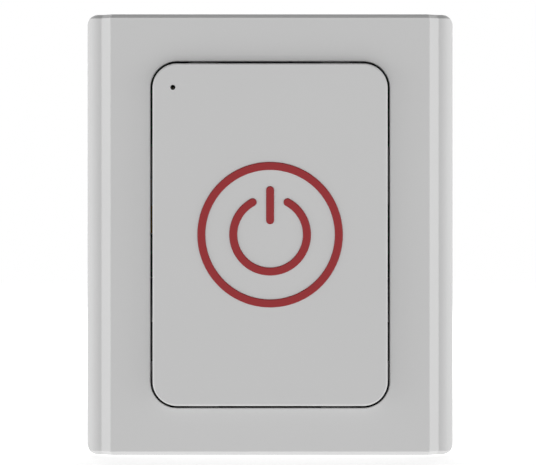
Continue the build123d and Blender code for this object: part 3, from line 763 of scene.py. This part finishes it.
ceramic_finish = capped(
    "capacitor ceramic", "small_capacitors", (0.36, 0.24, 0.13), 0.45, 0.5 * MM
)
reservoir_finish = capped(
    "yellow resin", "reservoir_capacitor", (0.56, 0.26, 0.03), 0.38, 3.66 * MM
)
print("finishes:", [m.name for m in (ceramic_finish, reservoir_finish)])

# %% [markdown]
# ### The cell's sleeve
# A lithium cell is a steel can in a shrunk plastic sleeve. The sleeve is glossy, and it shows
# the draw lines of the can under it. A paler band near the positive end tells the two ends
# apart. Its colour is plain, with nothing printed.

# %% Cell sleeve
SLEEVE_BLUE, BAND_GREY = (0.03, 0.085, 0.16), (0.5, 0.5, 0.48)
SLEEVE_ROUGHNESS, BAND_START = 0.3, 26.5 * MM
cell_low, cell_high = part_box("battery_cell")
sleeve_finish, tree, shader, place = new_finish(
    "cell sleeve", SLEEVE_BLUE, SLEEVE_ROUGHNESS, IOR=1.5, Coat_Weight=0.4, Coat_Roughness=0.12
)
past_band = use_group(
    tree,
    beyond_limit,
    Place=place,
    Middle=Vector((cell_low.x, 0, 0)),
    Direction=(1, 0, 0),
    Limit=BAND_START,
    Blur=0.05 * MM,
)["Mask"]
draw_lines = use_group(
    tree, rolled_lines, Place=place, Stretch=(60.0, 1200.0, 1200.0), Spread=0.1
)
grain = use_group(
    tree, moulded_grain, Place=place, Grains=900.0, Tone_Drift=0.16, Shine_Drift=0.12
)
blue, grey = (tinted(tree, tone, grain["Tone"]) for tone in (SLEEVE_BLUE, BAND_GREY))
tree.links.new(blended(tree, past_band, blue, grey), shader.inputs["Base Color"])
shine = calculate(tree, "ADD", draw_lines["Shine"], grain["Shine"])
shine = calculate(tree, "ADD", shine, SLEEVE_ROUGHNESS)
tree.links.new(shine, shader.inputs["Roughness"])
raised(tree, shader, grain["Height"], 0.02 * MM, 0.5)
print("finish:", sleeve_finish.name)

# %% [markdown]
# ## Giving the solids their finishes
# A solid of the frame keeps its mesh. Only the material in its slot changes.

# %% Finishes for the solids
finishes = {
    "front_shell": shell_finish,
    "rear_shell": shell_finish,
    "wall_plate": wall_plate_finish,
    "button_plate": plate_finish,
    "symbol_outer_ring": symbol_finish,
    "symbol_inner_ring": symbol_finish,
    "symbol_bar": symbol_finish,
    "main_board": board_finish,
    "radio_board": radio_finish,
    "radio_shield": tinned_finish,
    "microcontroller": resin_finish,
    "crystal": tinned_finish,
    "reservoir_capacitor": reservoir_finish,
    "small_capacitors": ceramic_finish,
    "status_light": lens_finish,
    "switch_body": switch_finish,
    "switch_cover": tinned_finish,
    "switch_plunger": plunger_finish,
    "switch_dome": spring_finish,
    "switch_leads": tinned_finish,
    "battery_cell": sleeve_finish,
    "battery_contact_positive": spring_finish,
    "battery_contact_negative": spring_finish,
    "board_screws": screw_finish,
    "case_screws": screw_finish,
}
for node, finish in finishes.items():
    nodes[node].material_slots[0].material = finish
print("nodes left without a finish:", sorted(set(nodes) - set(finishes)))

# %% [markdown]
# ## Screws
# Four pan-head screws pull the shells together, and two shorter ones hold the board. Their
# solids have plain shanks. A thread could be a bump in the material, but its outline would stay
# straight, so a real ridge is wound round the shank with the Screw modifier. The cross recess
# is punched with two tapered wedges, which leaves the sloping floor that centres a driver.

# %% Sizes of a screw, in millimetres
HEAD_RADIUS, HEAD_HEIGHT = 1.8, 1.2
CORE_RADIUS, THREAD_RADIUS, PITCH = 0.74, 0.99, 0.8
RECESS_LENGTH, RECESS_WIDTH, RECESS_DEPTH = 2.1, 0.52, 0.75
THREAD_STEPS = 20


# %% A blank with a cross recess
def screw_blank(length):
    """Pan head towards -Y, plain core and blunt tip, with the seat of the head at the origin."""
    blank = turned(
        "screw",
        [
            (-length, 0.0),
            (-length, 0.4),
            (-length + 0.45, CORE_RADIUS),
            (-0.12, CORE_RADIUS),
            (0.0, CORE_RADIUS + 0.12),
            (0.0, HEAD_RADIUS - 0.1),
            (0.08, HEAD_RADIUS),
            (0.55, HEAD_RADIUS),
            (0.78, HEAD_RADIUS - 0.08),
            (0.98, HEAD_RADIUS - 0.34),
            (1.12, HEAD_RADIUS - 0.78),
            (HEAD_HEIGHT, HEAD_RADIUS - 1.3),
            (HEAD_HEIGHT, 0.0),
        ],
        (0, 0, 0),
        (0, -1, 0),
    )
    for across, along in ((RECESS_WIDTH, RECESS_LENGTH), (RECESS_LENGTH, RECESS_WIDTH)):
        punch = add_primitive(
            "punch",
            bpy.ops.mesh.primitive_cube_add,
            size=MM,
            location=(0, -HEAD_HEIGHT * MM, 0),
            scale=(across, 2 * RECESS_DEPTH, along),
        )
        apply_place()
        bpy.ops.object.mode_set(mode="EDIT")
        pick_faces(punch, lambda middle: middle.y > (0.1 - HEAD_HEIGHT) * MM)
        bpy.ops.transform.resize(value=(0.6, 1.0, 0.6), center_override=(0, 0, 0))
        bpy.ops.object.mode_set(mode="OBJECT")
        apply_modifier(blank, "BOOLEAN", object=punch, operation="DIFFERENCE", solver="EXACT")
        bpy.data.objects.remove(punch)
    return blank


# %% Winding the thread
def wound_thread(length):
    """A three-sided ridge wound round the shank, from under the head to short of the tip."""
    start, width, root = 0.7 * MM, 0.56 * MM, (CORE_RADIUS - 0.05) * MM
    ridge = drawn_line(
        "thread",
        [
            Vector((root, start, 0)),
            Vector((THREAD_RADIUS * MM, start + width / 2, 0)),
            Vector((root, start + width, 0)),
            Vector((root, start, 0)),
        ],
    )
    bpy.ops.mesh.remove_doubles(threshold=0.002 * MM)
    bpy.ops.object.mode_set(mode="OBJECT")
    turns = round((length - 1.6) / PITCH)
    apply_modifier(
        ridge,
        "SCREW",
        axis="Y",
        screw_offset=PITCH * MM,
        iterations=turns,
        steps=THREAD_STEPS,
        render_steps=THREAD_STEPS,
    )
    bpy.ops.object.mode_set(mode="EDIT")
    bpy.ops.mesh.select_all(action="SELECT")
    bpy.ops.mesh.remove_doubles(threshold=0.002 * MM)
    bpy.ops.mesh.fill_holes(sides=3)
    bpy.ops.mesh.normals_make_consistent(inside=False)
    bpy.ops.object.mode_set(mode="OBJECT")
    return ridge


# %% Screws in their places
def fit_screws(node, heads_back):
    """Model one screw of a node, and put a copy at each corner of the node's box."""
    low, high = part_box(node)
    length = (high.y - low.y) / MM - HEAD_HEIGHT
    master = joined("screw", [screw_blank(length), wound_thread(length)])
    seat = high.y - HEAD_HEIGHT * MM if heads_back else low.y + HEAD_HEIGHT * MM
    inset = HEAD_RADIUS * MM
    heights = {round(low.z + inset, 5), round(high.z - inset, 5)}
    places = [(x, seat, z) for x in (low.x + inset, high.x - inset) for z in sorted(heights)]
    for number, place in enumerate(places, 1):
        screw = copied(master, f"{node[:-1]}_{number}", place, math.pi if heads_back else 0.0)
        settle(screw, "housing", screw_finish)
        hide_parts(node)
    bpy.data.objects.remove(master)
    print(node, "length:", round(length, 2), "mm, copies:", len(places))


fit_screws("case_screws", heads_back=True)
fit_screws("board_screws", heads_back=False)

# %% [markdown]
# ## The lithium cell
# The cell is a drawn steel can, a plastic sleeve that was shrunk over its rims, a sealing ring
# and a pressed cap. One solid stands for all of it in the frame. Each piece is turned on its
# own here, because the sleeve's lips and the ring round the cap are what make it look real.

# %% Sections of the cell, in millimetres from its middle
cell_middle = (cell_low + cell_high) / 2
cell_reach = (cell_high.x - cell_low.x) / 2 / MM
cell_radius = (cell_high.z - cell_low.z) / 2 / MM
shoulder = cell_reach - 1.0
groove = shoulder - 1.6
can_radius = cell_radius - 0.12
cell_sections = {
    "cell_can": [
        (-cell_reach + 0.05, 0.0),
        (-cell_reach + 0.05, can_radius - 0.75),
        (-cell_reach + 0.2, can_radius - 0.25),
        (-cell_reach + 0.5, can_radius),
        (groove - 0.5, can_radius),
        (groove, can_radius - 0.25),
        (groove + 0.5, can_radius),
        (shoulder - 0.5, can_radius),
        (shoulder - 0.2, can_radius - 0.25),
        (shoulder - 0.05, can_radius - 0.75),
        (shoulder - 0.05, can_radius - 2.1),
        (shoulder - 0.25, can_radius - 2.3),
        (shoulder - 0.7, can_radius - 2.35),
        (shoulder - 0.7, 0.0),
    ],
    "cell_ring": [
        (shoulder - 0.75, 4.75),
        (shoulder - 0.2, 4.7),
        (shoulder - 0.1, 4.55),
        (shoulder - 0.1, 4.05),
        (shoulder - 0.25, 3.9),
        (shoulder - 0.75, 3.85),
        (shoulder - 0.75, 4.75),
    ],
    "cell_cap": [
        (shoulder - 0.75, 0.0),
        (shoulder - 0.75, 3.95),
        (shoulder - 0.4, 3.95),
        (shoulder - 0.32, 3.8),
        (shoulder - 0.32, 3.1),
        (shoulder - 0.15, 2.85),
        (cell_reach - 0.35, 2.7),
        (cell_reach - 0.1, 2.6),
        (cell_reach, 2.35),
        (cell_reach, 0.0),
    ],
}
sleeve_section = [
    (-cell_reach + 0.02, can_radius - 1.5),
    (-cell_reach, can_radius - 1.4),
    (-cell_reach, can_radius - 0.65),
    (-cell_reach + 0.12, cell_radius - 0.28),
    (-cell_reach + 0.4, cell_radius),
    (groove - 0.55, cell_radius),
    (groove, cell_radius - 0.22),
    (groove + 0.55, cell_radius),
    (shoulder - 0.4, cell_radius),
    (shoulder - 0.12, cell_radius - 0.28),
    (shoulder, can_radius - 0.65),
    (shoulder, can_radius - 1.4),
    (shoulder - 0.02, can_radius - 1.5),
]

# %% Turning the cell
ring_finish = moulded_plastic("sealing ring", (0.02, 0.02, 0.021), 0.5, 8000.0)[0]
for name, finish, slot in (
    ("cell_can", tinned_finish, "tinned_steel"),
    ("cell_ring", ring_finish, "black_resin"),
    ("cell_cap", spring_finish, "spring_steel"),
):
    piece = turned(name, cell_sections[name], cell_middle, (1, 0, 0), steps=64)
    settle(piece, "housing", finish)
    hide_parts("battery_cell")

sleeve = turned("cell_sleeve", sleeve_section, cell_middle, (1, 0, 0), steps=64)
apply_modifier(sleeve, "SOLIDIFY", thickness=0.1 * MM, offset=-1.0)
settle(sleeve, "housing", sleeve_finish)
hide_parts("battery_cell")

# %% [markdown]
# ## Solder
# Every part on the board sits in solder, which creeps up metal in a hollow slope. Each joint
# starts as a flat square that is drawn up to a smaller top and then smoothed by subdivision.
# One joint is modelled and copied, stretched to the pad that it stands on.

# %% One solder joint
def solder_joint():
    """A low mound one millimetre across and one high, standing on the origin towards -Y."""
    mound = add_primitive(
        "joint", bpy.ops.mesh.primitive_plane_add, size=MM, rotation=(math.radians(90), 0, 0)
    )
    apply_place()
    bpy.ops.object.mode_set(mode="EDIT")
    bpy.ops.mesh.select_mode(type="VERT")
    bpy.ops.mesh.select_all(action="SELECT")
    for height, narrowing in ((0.15, 0.96), (0.35, 0.72), (0.5, 0.6)):
        bpy.ops.mesh.extrude_region_move(TRANSFORM_OT_translate={"value": (0, -height * MM, 0)})
        bpy.ops.transform.resize(value=(narrowing, 1.0, narrowing))
    bpy.ops.mesh.select_all(action="SELECT")
    bpy.ops.mesh.normals_make_consistent(inside=False)
    bpy.ops.object.mode_set(mode="OBJECT")
    apply_modifier(mound, "SUBSURF", levels=2, render_levels=2)
    return mound


# %% Where solder stands: x, z in metres, then width, height and rise in millimetres
board_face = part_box("main_board")[0].y
leads_low, leads_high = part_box("switch_leads")
radio_low, radio_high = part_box("radio_board")
shield_low, shield_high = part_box("radio_shield")
tank_low, tank_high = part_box("reservoir_capacitor")
small_low, small_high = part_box("small_capacitors")
crystal_low, crystal_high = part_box("crystal")
tail_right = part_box("battery_contact_positive")[1]
lead_half = 0.35 * MM
pads = [
    (x, z, 1.3, 1.15, 0.5)
    for x in (leads_low.x + 0.1 * MM, leads_high.x - 0.1 * MM)
    for z in (leads_low.z + lead_half, leads_high.z - lead_half)
]
tail_x = tail_right.x - 0.2 * MM
pads += [(side * tail_x, tail_right.z + 0.1 * MM, 1.5, 1.5, 0.8) for side in (-1, 1)]
pads += [
    (x, (shield_low.z + shield_high.z) / 2 + step * 2 * MM, 0.9, 0.7, 0.75)
    for x in (radio_low.x, radio_high.x)
    for step in range(-2, 3)
]
pads += [
    (x, z, 0.95, 0.6, 0.6)
    for x in [(small_low.x + small_high.x) / 2 + step * 1.8 * MM for step in (-1, 0, 1)]
    for z in (small_low.z, small_high.z)
]
pads += [((tank_low.x + tank_high.x) / 2, z, 2.8, 0.9, 0.7) for z in (tank_low.z, tank_high.z)]
pads += [
    (x, z, 0.8, 0.8, 0.5)
    for x in (crystal_low.x, crystal_high.x)
    for z in (crystal_low.z, crystal_high.z)
]
print("pads:", len(pads))

# %% Solder on the board
master = solder_joint()
joints = []
for x, z, wide, tall, high in pads:
    joint = copied(master, "joint", (x, board_face + 0.05 * MM, z))
    joint.scale = (wide, high, tall)
    joints.append(joint)
bpy.data.objects.remove(master)
for joint in joints:
    select_only(joint)
    apply_place()
solder = joined("solder_joints", joints)
settle(solder, "housing", solder_finish, angle=60)

# %% [markdown]
# ## Pads of the microcontroller
# The chip has no legs. Its contacts are small metal lands that show as a row along each side.
# One land is a thin plate with rounded edges, and the Array modifier sets out the row.

# %% Chip lands
LANDS, LAND_PITCH = 8, 0.6
chip_low, chip_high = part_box("microcontroller")
chip_middle = (chip_low + chip_high) / 2
rows = []
for quarter in range(4):
    land = add_primitive(
        "row",
        bpy.ops.mesh.primitive_cube_add,
        size=MM,
        location=(-LAND_PITCH * (LANDS - 1) / 2 * MM, 0, -3.0 * MM),
        scale=(0.3, 0.22, 0.34),
    )
    apply_place()
    apply_modifier(land, "BEVEL", width=0.04 * MM, segments=2)
    apply_modifier(
        land,
        "ARRAY",
        count=LANDS,
        use_relative_offset=False,
        use_constant_offset=True,
        constant_offset_displace=(LAND_PITCH * MM, 0, 0),
    )
    land.rotation_euler = (0, quarter * math.pi / 2, 0)
    land.location = (chip_middle.x, board_face - 0.11 * MM, chip_middle.z)
    apply_place()
    rows.append(land)
lands = joined("chip_lands", rows)
settle(lands, "housing", solder_finish)

# %% [markdown]
# ## The radio's antenna
# A radio board leaves its top end clear of the shield for an antenna, a flat copper strip that
# runs to and fro. The line of the strip is drawn, raised to the strip's thickness, and widened
# with the Solidify modifier, which keeps an even width round the corners.

# %% Antenna strip
ANTENNA_TURNS, STRIP_WIDTH = 6, 0.5
left, right = radio_low.x + 1.0 * MM, radio_high.x - 1.0 * MM
bottom, top = shield_high.z + 0.5 * MM, radio_high.z - 0.55 * MM
stride = (right - left) / (2 * ANTENNA_TURNS - 1)
strip_points = []
for step in range(2 * ANTENNA_TURNS):
    x = left + stride * step
    heights = (bottom, top) if step % 2 == 0 else (top, bottom)
    strip_points += [Vector((x, radio_low.y, z)) for z in heights]
antenna = drawn_line("radio_antenna", strip_points)
bpy.ops.mesh.extrude_region_move(TRANSFORM_OT_translate={"value": (0, -0.04 * MM, 0)})
bpy.ops.object.mode_set(mode="OBJECT")
apply_modifier(antenna, "SOLIDIFY", thickness=STRIP_WIDTH * MM, offset=0.0, use_even_offset=True)
bpy.ops.object.mode_set(mode="EDIT")
bpy.ops.mesh.select_all(action="SELECT")
bpy.ops.mesh.normals_make_consistent(inside=False)
bpy.ops.object.mode_set(mode="OBJECT")
settle(antenna, "housing", copper_finish)
strip_length = sum((end - start).length for start, end in zip(strip_points, strip_points[1:]))
print("antenna length:", round(strip_length / MM, 1), "mm")

# %% [markdown]
# ## The snap dome
# The click of the switch comes from a sprung disc, which snaps flat under the plunger and jumps
# back. Its solid would stay domed while the plunger goes into it. This disc is turned with a
# shallow dimple at its crown, and it stays domed as well.

# %% Snap dome
dome_low, dome_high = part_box("switch_dome")
dome_radius = (dome_high.z - dome_low.z) / 2 / MM
dome_rise = (dome_high.y - dome_low.y) / MM
DOME_SHEET, DIMPLE, TOP_PLAY = 0.1, 0.03, 0.005
DOME_SHARES = (0.16, 0.3, 0.5, 0.7, 0.85, 0.95, 1.0)
crown = dome_rise - TOP_PLAY
outer_side = [(crown * (1 - share**2), share * dome_radius) for share in DOME_SHARES]
inner_side = [(height - DOME_SHEET, radius) for height, radius in reversed(outer_side[:5])]
dome_section = [(crown - DIMPLE, 0.0), (crown - DIMPLE, 0.06 * dome_radius), *outer_side]
dome_section += [(0.0, dome_radius - 0.12), *inner_side, (crown - DIMPLE - DOME_SHEET, 0.0)]
dome_seat = ((dome_low.x + dome_high.x) / 2, dome_high.y, (dome_low.z + dome_high.z) / 2)
dome = turned("snap_dome", dome_section, dome_seat, (0, -1, 0), steps=48)
settle(dome, "housing", spring_finish)
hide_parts("switch_dome")
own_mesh(dome)
print("dome:", round(2 * dome_radius, 2), "mm across,", round(dome_rise, 2), "mm high")

# %% [markdown]
# ## The studio
# The floor is pale and plain, and the background is white. In the photograph the sides and the
# underside of the housing are brighter than its front, and the top edges are the darkest, so
# the light comes softly from both sides and from below, as on a pale table under a dark ceiling.
# Two wide lamps stand left and right, and one hangs behind, so that the top and the back are
# lit as well in other views. The world is bright low down and dimmer overhead.
# The camera, mirrors and glass see it as plain white.

# %% Seen or lighting
def seen_directly(tree):
    """1 for a ray from the camera, a mirror or glass, and 0 for a ray that only carries light."""
    rays = add_node(tree, "ShaderNodeLightPath").outputs
    total = calculate(tree, "ADD", rays["Is Camera Ray"], rays["Is Glossy Ray"])
    return calculate(tree, "ADD", total, rays["Is Transmission Ray"], clamp=True)


# %% World
WHITE = (1, 1, 1, 1)
LOW_LEVEL, OVERHEAD_LOSS = 1.25, -2.15

world = bpy.data.worlds.new("studio")
bpy.context.scene.world = world
world.use_nodes = True
tree = world.node_tree
tree.nodes.clear()
direction = add_node(tree, "ShaderNodeTexCoord").outputs["Generated"]
above = calculate(tree, "MAXIMUM", separate(tree, direction)["Z"], 0.0)
level = calculate(tree, "MULTIPLY_ADD", above, OVERHEAD_LOSS, LOW_LEVEL)
level = calculate(tree, "MAXIMUM", level, 0.0)
soft, plain = [
    add_node(tree, "ShaderNodeBackground", {"Color": WHITE, "Strength": strength}).outputs[0]
    for strength in (level, 1.0)
]
choice = add_node(tree, "ShaderNodeMixShader", {0: seen_directly(tree), 1: soft, 2: plain})
add_node(tree, "ShaderNodeOutputWorld", {"Surface": choice.outputs[0]})
print("world level from", LOW_LEVEL, "at the horizon down to 0 overhead")


# %% Lamps: place, aim and power
LAMP_SIZE = 0.4
LAMPS = {
    "lamp left": ((-0.6, -0.06, 0.0), (0, -0.01, 0), 1.25),
    "lamp right": ((0.6, -0.06, 0.0), (0, -0.01, 0), 1.25),
    "lamp behind": ((0, 0.6, 0.54), (0, 0, 0), 2.5),
}
for name, (place, aim, power) in LAMPS.items():
    lamp_data = bpy.data.lights.new(name, "AREA")
    lamp_data.shape = "SQUARE"
    lamp_data.size = LAMP_SIZE
    lamp_data.energy = power
    lamp = bpy.data.objects.new(name, lamp_data)
    bpy.context.scene.collection.objects.link(lamp)
    lamp.location = place
    lamp.rotation_euler = (Vector(aim) - Vector(place)).to_track_quat("-Z", "Y").to_euler()
print("lamps:", list(LAMPS))

# %% [markdown]
# ### The floor
# Light from below passes through the floor, which throws no light or shadow on the button. A
# ray that sees it gets a glow. The glow is weaker near the button, where it leaves the button's
# faint shadow, and stronger further away, where the floor turns pure white.

# %% Floor
FLOOR_SIZE, FLOOR_DROP = 3.0, 0.05 * MM
PALE = (0.85, 0.85, 0.85, 1)
NEAR, FAR = 0.03, 0.35
NEAR_GLOW, FAR_GLOW = 0.68, 0.9

floor = add_primitive(
    "floor",
    bpy.ops.mesh.primitive_plane_add,
    size=FLOOR_SIZE,
    location=(0, 0, cad_box[0].z - FLOOR_DROP),
)
apply_place()
floor_finish = bpy.data.materials.new("floor")
floor_finish.use_nodes = True
tree = floor_finish.node_tree
tree.nodes.clear()
pale = add_node(tree, "ShaderNodeBsdfDiffuse", {"Color": PALE})
place = add_node(tree, "ShaderNodeTexCoord").outputs["Object"]
lift = add_node(
    tree,
    "ShaderNodeMapRange",
    {
        "Value": combine(tree, "LENGTH", place),
        "From Min": NEAR,
        "From Max": FAR,
        "To Min": NEAR_GLOW,
        "To Max": FAR_GLOW,
    },
).outputs[0]
strength = calculate(tree, "MULTIPLY", seen_directly(tree), lift)
glow = add_node(tree, "ShaderNodeEmission", {"Color": WHITE, "Strength": strength})
both = add_node(tree, "ShaderNodeAddShader", {0: pale.outputs[0], 1: glow.outputs[0]})
add_node(tree, "ShaderNodeOutputMaterial", {"Surface": both.outputs[0]})
floor.data.materials.append(floor_finish)
floor.visible_diffuse = False
floor.visible_shadow = False
print("floor at", round(cad_box[0].z - FLOOR_DROP, 5), "m")
